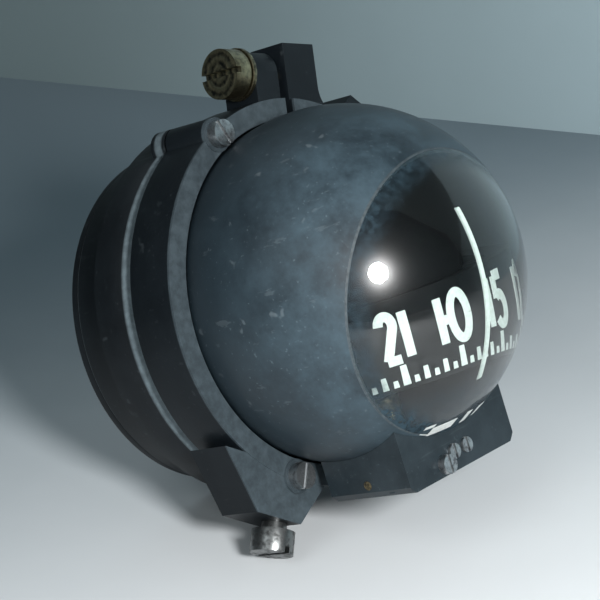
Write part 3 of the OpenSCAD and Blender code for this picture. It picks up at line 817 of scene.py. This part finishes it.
@dataclass
class BallShell:
    """The ball's enamelled wall, its window and the seal between them.

    The window looks a little lower than the ball's own axis, as it does in the photograph.
    """

    centre: Vector
    outer_r: float
    wall: float = 2.5
    neck_r: float = 33.5
    neck_end: float = 21.94
    tilt: float = 13.0
    half_angle: float = 50.4
    seal_angle: float = 0.75
    bead_drop: float = 0.06
    columns: int = 224
    outer_rings: int = 64
    inner_rings: int = 48
    dome_rings: int = 96
    lining_rings: int = 64
    bead_rings: int = 4
    bead_lining_rings: int = 3

    def frame(self, points: np.ndarray) -> np.ndarray:
        """Moves points from millimetres about the ball's centre to the part's frame."""
        return points * MM + np.array(self.centre)

    def axis(self) -> Vector:
        """The direction in which the window looks."""
        lean = math.radians(self.tilt)
        return Vector((0.0, -math.cos(lean), -math.sin(lean)))

    def cap(self, radius: float, angles: np.ndarray) -> np.ndarray:
        """Rings on a sphere about the window's axis.

        Each ring is the axis times its angle's cosine, plus a circle square to the axis times the sine.

        Args:
            radius: The sphere's radius.
            angles: One angle from the axis for each ring, in radians.

        Returns:
            Points, ring after ring.
        """
        lean = math.radians(self.tilt)
        rise = np.array([0.0, -math.sin(lean), math.cos(lean)])
        turn = np.linspace(0.0, 2 * math.pi, self.columns, endpoint=False)
        circle = np.sin(turn)[:, None] * np.array([1.0, 0.0, 0.0]) + np.cos(turn)[:, None] * rise
        along = np.cos(angles)[:, None, None] * np.array(self.axis())
        return ((along + np.sin(angles)[:, None, None] * circle) * radius).reshape(-1, 3)

    def edge(self, turn: np.ndarray) -> np.ndarray:
        """Angle from the ball's axis at which its wall starts, round the ball.

        It solves cos(a) cos(tilt) - sin(a) sin(tilt) cos(turn) = cos(half angle and seal).
        """
        lean = math.radians(self.tilt)
        first, second = math.cos(lean), math.sin(lean) * np.cos(turn)
        reach = math.cos(math.radians(self.half_angle + self.seal_angle))
        return np.arccos(reach / np.hypot(first, second)) - np.arctan2(second, first)

    def lathe(self, radius: np.ndarray, along: np.ndarray, turn: np.ndarray) -> np.ndarray:
        """Points from a radius and a place along the ball's axis at each turn."""
        return np.stack([radius * np.sin(turn), along * np.ones_like(turn), radius * np.cos(turn)], -1)

    def wall_points(self) -> tuple[np.ndarray, int]:
        """The wall's rings: out along the sphere, over the neck, and back along the inner sphere.

        Returns:
            The points and the number of rings.
        """
        turn = np.linspace(0.0, 2 * math.pi, self.columns, endpoint=False)
        start = self.edge(turn)
        rings = []
        inner_r = self.outer_r - self.wall
        last_out = math.pi / 2 + math.acos(self.neck_r / self.outer_r)
        last_in = math.pi - math.acos(self.neck_end / inner_r)
        for share in np.linspace(0.0, 1.0, self.outer_rings):
            angle = start + (last_out - start) * share
            rings.append(self.lathe(self.outer_r * np.sin(angle), -self.outer_r * np.cos(angle), turn))
        for radius in (self.neck_r, inner_r * math.sin(last_in)):
            rings.append(self.lathe(np.full(self.columns, radius), np.float64(self.neck_end), turn))
        for share in np.linspace(1.0, 0.0, self.inner_rings)[1:]:
            angle = start + (last_in - start) * share
            rings.append(self.lathe(inner_r * np.sin(angle), -inner_r * np.cos(angle), turn))
        rings.append(rings[0])
        return np.concatenate(rings), len(rings)

    def window_points(self) -> tuple[np.ndarray, int]:
        """The window's rings: out along the dome, and back along its lining.

        Returns:
            The points and the number of rings.
        """
        wide = math.radians(self.half_angle)
        dome = self.cap(self.outer_r, np.linspace(0.0, wide, self.dome_rings))
        lining = self.cap(self.outer_r - self.wall, np.linspace(wide, 0.0, self.lining_rings))
        return np.concatenate([dome, lining]), self.dome_rings + self.lining_rings

    def seal_points(self) -> tuple[np.ndarray, int]:
        """The seal's rings: out along its bead, and back along the inner sphere.

        Returns:
            The points and the number of rings.
        """
        bead = self.outer_r - self.bead_drop
        wide = math.radians(self.half_angle)
        seam = math.radians(self.half_angle + self.seal_angle)
        outward = np.linspace(wide, seam, self.bead_rings)
        lining = self.cap(self.outer_r - self.wall, np.linspace(seam, wide, self.bead_lining_rings))
        rings = [self.cap(bead, outward), lining, self.cap(bead, outward[:1])]
        return np.concatenate(rings), self.bead_rings + self.bead_lining_rings + 1

    def build(self, enamel: bpy.types.Material, glass: bpy.types.Material,
              rubber: bpy.types.Material) -> None:
        """Makes the three pieces in place of their plain nodes.

        Args:
            enamel: The wall's finish.
            glass: The window's finish.
            rubber: The seal's finish.
        """
        for name, node, (points, rings), finish, slot in (
            ("ball_wall", "bowl", self.wall_points(), enamel, "black_enamel"),
            ("ball_window", "window", self.window_points(), glass, "window_glass"),
            ("ball_seal", "window_seal", self.seal_points(), rubber, "seal_rubber"),
        ):
            faces = Surface.quads(rings, self.columns).tolist()
            made = Surface.piece(name, self.frame(points), faces, finish, "ball")
            Surface.soften(made.data)
            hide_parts(node)
            LOG.info("made %s", name)


@dataclass
class IndexMarks:
    """White marks low on the ball, just above the compensator's face."""

    shell: BallShell
    level: float = -29.7
    bars: tuple = ((-10.2, -8.2, 2.8), (-8.2, -2.6, 1.4), (0.2, 1.9, 1.8), (4.6, 7.6, 1.6))
    bar_points: int = 12

    def on_ball(self, flat: np.ndarray, lift: np.ndarray) -> np.ndarray:
        """Lays flat points on the ball: X and Z stay, Y follows from the radius, and lift is outwards."""
        radius = self.shell.outer_r
        depth = -np.sqrt(np.maximum(radius ** 2 - (flat ** 2).sum(1), 0.0))
        local = np.stack([flat[:, 0], depth, flat[:, 1]], 1)
        return self.shell.frame(local * (1.0 + lift[:, None] / radius))

    def build(self, name: str, finish: bpy.types.Material) -> bpy.types.Object:
        """Paints the marks."""
        work = PaintWork()
        for start, end, width in self.bars:
            across = np.linspace(start, end, self.bar_points)
            path = np.stack([across, np.full_like(across, self.level)], 1)
            work.bar(path, np.full_like(across, width), self.on_ball)
        return work.build(name, finish, "ball")


@dataclass(frozen=True)
class View:
    """The photograph's camera, about the ball's centre."""

    azimuth: float = -46.02
    elevation: float = 6.07
    roll: float = -17.12
    distance: float = 457.5
    centre_x: float = 347.3
    centre_y: float = 283.5
    pixels_per_mm: float = 5.14
    frame: float = 600.0
    sensor: float = 36.0
    clip: tuple[float, float] = (0.01, 20.0)

    def build(self, centre: Vector) -> Vector:
        """Makes the camera.

        The back vector points from the ball to the camera, and the roll turns right and up about it. The
        camera is then moved sideways so that the ball's centre lands on its own pixel.

        Args:
            centre: The ball's centre.

        Returns:
            The direction from the ball to the camera.
        """
        a, e, r = (math.radians(v) for v in (self.azimuth, self.elevation, self.roll))
        back = Vector((math.sin(a) * math.cos(e), -math.cos(a) * math.cos(e), math.sin(e)))
        level = Vector((math.cos(a), math.sin(a), 0.0))
        rise = back.cross(level)
        right = level * math.cos(r) + rise * math.sin(r)
        up = rise * math.cos(r) - level * math.sin(r)
        shift_x = (self.centre_x - self.frame / 2) / self.pixels_per_mm
        shift_y = (self.frame / 2 - self.centre_y) / self.pixels_per_mm
        place = centre + (back * self.distance - right * shift_x - up * shift_y) * MM
        lens = bpy.data.cameras.new("camera")
        lens.sensor_width = self.sensor
        lens.lens = self.pixels_per_mm * self.distance * self.sensor / self.frame
        lens.clip_start, lens.clip_end = self.clip
        made = add_object("camera", lens)
        turn = Matrix((right, up, back)).transposed().to_4x4()
        made.matrix_world = Matrix.Translation(place) @ turn
        bpy.context.scene.camera = made
        return back


@dataclass(frozen=True)
class Paper:
    """Matt paper with painted falloff and shadow, darkening along one direction, and clear from behind."""

    name: str
    near: tuple
    far: tuple
    shade_span: tuple[float, float]
    roughness: float = 0.8
    specular: float = 0.2
    mottle_mm: float = 60.0
    mottle: float = 0.03

    def material(self, along: Vector, start: float) -> bpy.types.Material:
        """Builds the finish.

        Args:
            along: The direction from the near lit tone to the far tone of painted shade.
            start: Where the tone change is counted from, along that direction.

        Returns:
            The material.
        """
        graph = Graph(self.name)
        # Painted light falloff and painted shadow: the tone darkens along one direction.
        reach = graph.vector(VectorOperation.DOT_PRODUCT, graph.place(), along) - start
        share = reach + (graph.noise(self.mottle_mm, 4.0) - 0.5) * self.mottle
        front = graph.shader({
            "Base Color": graph.mix(share.ramp(*self.shade_span), self.near, self.far),
            "Roughness": self.roughness, "Specular IOR Level": self.specular,
        })
        clear = graph.node("ShaderNodeBsdfTransparent").outputs[0]
        behind = graph.add("ShaderNodeNewGeometry", None, None, "Backfacing")
        return graph.end(graph.blend(behind, front, clear))


@dataclass(frozen=True)
class Lamp:
    """A round lamp that faces the ball, with its place from the point of the table under the ball."""

    name: str
    right: float
    away: float
    up: float
    size: float
    power: float
    tint: tuple = (1.0, 1.0, 1.0)


# Table and wall darken into the distance and to the left: painted light falloff and painted shadow of the
# part.
TABLE_SHADED_PAPER = Paper("studio_table", colour(0.93, 0.95, 0.96), colour(0.17, 0.22, 0.25), (-0.12, 0.18))
WALL_SHADED_PAPER = Paper("studio_wall", colour(0.4, 0.51, 0.55), colour(0.15, 0.2, 0.21), (0.05, 0.3))
LAMPS = (
    Lamp("overhead", -0.3, 0.35, 0.85, 0.7, 0.9, (0.8, 0.93, 1.0)),
    Lamp("near_camera", 0.165, -0.46, 0.3, 0.12, 3.9),
    Lamp("front_left", -0.4, -0.5, 0.55, 0.5, 1.4, (0.94, 0.99, 1.0)),
)


@dataclass
class Studio:
    """Pale table, wall and soft lights, set square to the photographer and not to the part."""

    centre: Vector
    back: Vector
    points: np.ndarray
    up: Vector = field(default_factory=lambda: Vector((-0.057, -0.377, 0.925)).normalized())
    wall_gap: float = 0.245
    wall_turn: float = 23.5
    wall_height: float = 0.3
    half: float = 2.0
    shadow_slant: float = 0.6
    sky: tuple = colour(0.58, 0.73, 0.8)
    sky_strength: float = 0.09

    def axes(self) -> tuple[Vector, Vector, Vector]:
        """The table's own directions: right, away from the photographer and up."""
        away = -(self.back - self.up * self.back.dot(self.up)).normalized()
        return away.cross(self.up), away, self.up

    def ground(self) -> Vector:
        """The point of the table under the ball: the table touches the lowest point of the part."""
        low = float((self.points @ np.array(self.up)).min())
        return self.centre + self.up * (low - self.centre.dot(self.up))

    def at(self, right: float, away: float, up: float) -> Vector:
        """A place by its distances from the point of the table under the ball."""
        axes = self.axes()
        return self.ground() + axes[0] * right + axes[1] * away + axes[2] * up

    def sheet(self, paper: Paper, corners: list[Vector]) -> None:
        """A flat sheet that only belongs to the studio.

        Its tone darkens from the near right to the far left, as painted light falloff and painted shadow.

        Args:
            paper: What it is made of.
            corners: Its four corners, anticlockwise from its front.
        """
        right, away, _ = self.axes()
        # The direction in which the painted shade deepens: away from the lamp and toward the left.
        along = (away - right * self.shadow_slant).normalized()
        mesh = bpy.data.meshes.new(paper.name)
        mesh.from_pydata([tuple(corner) for corner in corners], [], [[0, 1, 2, 3]])
        mesh.materials.append(paper.material(along, along.dot(self.ground())))
        add_object(paper.name, mesh)

    def light(self, lamp: Lamp) -> None:
        """Sets up one lamp."""
        light = bpy.data.lights.new(lamp.name, "AREA")
        light.shape = "DISK"
        light.size = lamp.size
        light.energy = lamp.power
        light.color = lamp.tint
        made = add_object(lamp.name, light)
        made.location = self.at(lamp.right, lamp.away, lamp.up)
        made.rotation_euler = (self.centre - made.location).to_track_quat("-Z", "Y").to_euler()

    def world(self) -> None:
        """Even blue-grey surroundings."""
        world = bpy.data.worlds.new("surroundings")
        world.use_nodes = True
        backdrop = world.node_tree.nodes["Background"]
        backdrop.inputs["Color"].default_value = self.sky
        backdrop.inputs["Strength"].default_value = self.sky_strength
        bpy.context.scene.world = world

    def build(self) -> None:
        """Sets the whole studio."""
        half = self.half
        table = ((-half, -half), (half, -half), (half, half), (-half, half))
        self.sheet(TABLE_SHADED_PAPER, [self.at(right, away, 0.0) for right, away in table])
        turn = math.tan(math.radians(self.wall_turn))
        left, right = ((end, self.wall_gap - end * turn) for end in (-half, half))
        wall = ((*left, 0.0), (*right, 0.0), (*right, self.wall_height), (*left, self.wall_height))
        self.sheet(WALL_SHADED_PAPER, [self.at(*corner) for corner in wall])
        self.world()
        for lamp in LAMPS:
            self.light(lamp)


def clamp_axis() -> tuple[Vector, Vector]:
    """A point on the clamp screw's axis and its direction, from the washer's and the nut's boxes."""
    washer, nut = (sum(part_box(name), Vector()) / 2 for name in ("clamp_washer", "clamp_nut"))
    return washer, (nut - washer).normalized()


def finishes(shell: BallShell) -> dict[str, bpy.types.Material]:
    """Builds every finish once.

    Args:
        shell: The ball, for finishes that change over it.

    Returns:
        Finish name to material.
    """
    ring_front, housing_front = (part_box(name)[0].y for name in ("clamp_ring", "rear_housing"))
    made = [
        Enamel(
            "ball_enamel", base=colour(0.012, 0.021, 0.028), dust_amount=0.7, scuff_amount=0.45,
            roughness=0.44, specular=0.4, dust=colour(0.08, 0.135, 0.17),
            hollow=Hollow(shell.centre, 34.4, 34.8),
            # Dust thins toward the back, also painting shade on the ball's top and back.
            dust_and_shade_span=(shell.centre.y - 26.0 * MM, shell.centre.y + 5.0 * MM),
        ),
        Enamel(
            "ring_enamel", base=colour(0.004, 0.006, 0.008), dust_amount=0.05, scuff_amount=0.12,
            roughness=0.42, specular=0.18,
            # The ring's front face and edge, worn and painted lighter where the lamp lights them.
            rubbed_and_lit=RubbedAndLitBand(ring_front + 0.4 * MM, 0.6 * MM, colour(0.06, 0.08, 0.092)),
        ),
        Enamel(
            "housing_enamel", base=colour(0.003, 0.0045, 0.006), dust_amount=0.05, scuff_amount=0.12,
            roughness=0.46, specular=0.25,
            # A worn band on the housing, also a painted highlight along its edge.
            rubbed_and_lit=RubbedAndLitBand(housing_front + 2.0 * MM, 1.3 * MM, colour(0.14, 0.18, 0.2)),
        ),
        Enamel(
            "compensator_enamel", base=colour(0.007, 0.013, 0.017), dust_amount=0.25, scuff_amount=0.25,
            roughness=0.42, specular=0.3,
        ),
        Metal("plated_steel", colour(0.5, 0.52, 0.53), colour(0.16, 0.17, 0.18), 0.24),
        Metal("dark_steel", colour(0.2, 0.21, 0.21), colour(0.06, 0.062, 0.062), 0.28),
        Metal("worn_brass", colour(0.26, 0.21, 0.12), colour(0.05, 0.045, 0.035), 0.36),
        Metal("magnet_steel", colour(0.3, 0.3, 0.32), colour(0.17, 0.17, 0.18), 0.4),
        Paint("white_paint", colour(0.62, 0.64, 0.63), colour(0.52, 0.54, 0.52), 0.6, 0.6, specular=0.2),
        Paint("card_black", colour(0.0015, 0.002, 0.003), colour(0.003, 0.004, 0.005), 0.7, specular=0.12),
        # Its pale tone also paints the highlight that runs along the window's edge, on the seal between
        # window and wall.
        Paint("seal_rubber", colour(0.06, 0.078, 0.088), colour(0.03, 0.04, 0.046), 0.5),
        Paint("jewel_stone", colour(0.4, 0.03, 0.05), colour(0.5, 0.05, 0.07), 0.1),
        LiquidDome("clear_dome", shell.centre, shell.outer_r, shell.axis()),
        TurnedBrass("turned_brass", *clamp_axis()),
    ]
    return {each.name: each.material() for each in made}


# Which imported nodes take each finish, with the width in millimetres of their rounded edges
NODE_FINISH: dict[str, dict[str, float]] = {
    "ball_enamel": {"bowl": 0.0},
    "clear_dome": {"window": 0.0},
    "seal_rubber": {"window_seal": 0.0, "plug_washer": 0.0, "rear_gasket": 0.0},
    "white_paint": {"lubber_line": 0.0},
    "plated_steel": {
        "filler_plug": 0.2, "pivot_point": 0.0, "pivot_stem": 0.0, "compensator_screw": 0.25,
        "left_shaft": 0.1, "right_shaft": 0.1, "lug_screws": 0.25, "rear_cover_screws": 0.12,
    },
    "worn_brass": {
        "diaphragm": 0.0, "diaphragm_ring": 0.0, "pivot_column": 0.0, "jewel_cup": 0.0,
        "cross_shaft": 0.1, "clamp_nut": 0.25,
    },
    "jewel_stone": {"jewel": 0.0},
    "card_black": {"card_ring": 0.0, "card_float": 0.0, "card_spider": 0.0},
    "magnet_steel": {"card_magnets": 0.0, "left_magnet": 0.0, "right_magnet": 0.0, "cross_magnets": 0.0},
    "compensator_enamel": {"compensator_body": 0.4, "compensator_face": 0.3},
    "ring_enamel": {"clamp_ring": 0.9},
    "turned_brass": {"clamp_screw": 0.35, "clamp_washer": 0.15},
    "dark_steel": {"foot_screw": 0.35},
    "housing_enamel": {"rear_housing": 0.5, "rear_cover": 0.4},
}

WELD_MM = 0.005
EDGE_SEGMENTS = 3
EDGE_ANGLE = math.radians(40.0)


def dress(node: bpy.types.Object, finish: bpy.types.Material, edge: float) -> None:
    """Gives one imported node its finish, welded corners and rounded edges.

    Args:
        node: The node's object.
        finish: Its material.
        edge: The width of its rounded edges in millimetres, or zero.
    """
    node.data.materials.clear()
    node.data.materials.append(finish)
    weld = node.modifiers.new("weld", "WELD")
    weld.merge_threshold = WELD_MM * MM
    if edge:
        round_off = node.modifiers.new("edges", "BEVEL")
        round_off.width = edge * MM
        round_off.segments = EDGE_SEGMENTS
        round_off.limit_method = "ANGLE"
        round_off.angle_limit = EDGE_ANGLE
    LOG.info("dressed %s in %s", node.name, finish.name)


def corner_points(nodes: dict[str, bpy.types.Object]) -> np.ndarray:
    """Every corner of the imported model, one per row."""
    found = []
    for node in nodes.values():
        flat = np.empty(len(node.data.vertices) * 3)
        node.data.vertices.foreach_get("co", flat)
        found.append(flat.reshape(-1, 3))
    return np.concatenate(found)


def main() -> None:
    """Loads the frame, dresses it, adds the dial and sets the studio."""
    logging.basicConfig(level=logging.INFO)
    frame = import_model()
    low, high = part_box("card_ring")
    foot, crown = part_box("bowl")
    centre = Vector(((low.x + high.x) / 2, (low.y + high.y) / 2, (foot.z + crown.z) / 2))
    ball_r = (crown.z - foot.z) / 2 / MM
    shell = BallShell(centre, ball_r)
    looks = finishes(shell)
    for finish, edges in NODE_FINISH.items():
        for name, edge in edges.items():
            dress(frame["nodes"][name], looks[finish], edge)
    card = Card(centre, top_r=(high.x - low.x) / 2 / MM, top_drop=(centre.z - high.z) / MM,
                height=(high.z - low.z) / MM)
    card.figures("card_figures", looks["white_paint"])
    card.marks("card_ticks", looks["white_paint"])
    shell.build(looks["ball_enamel"], looks["clear_dome"], looks["seal_rubber"])
    IndexMarks(shell).build("index_marks", looks["white_paint"])
    back = View().build(centre)
    Studio(centre, back, corner_points(frame["nodes"])).build()
    bpy.context.scene.view_settings.view_transform = "Standard"


if __name__ == "__main__":
    main()
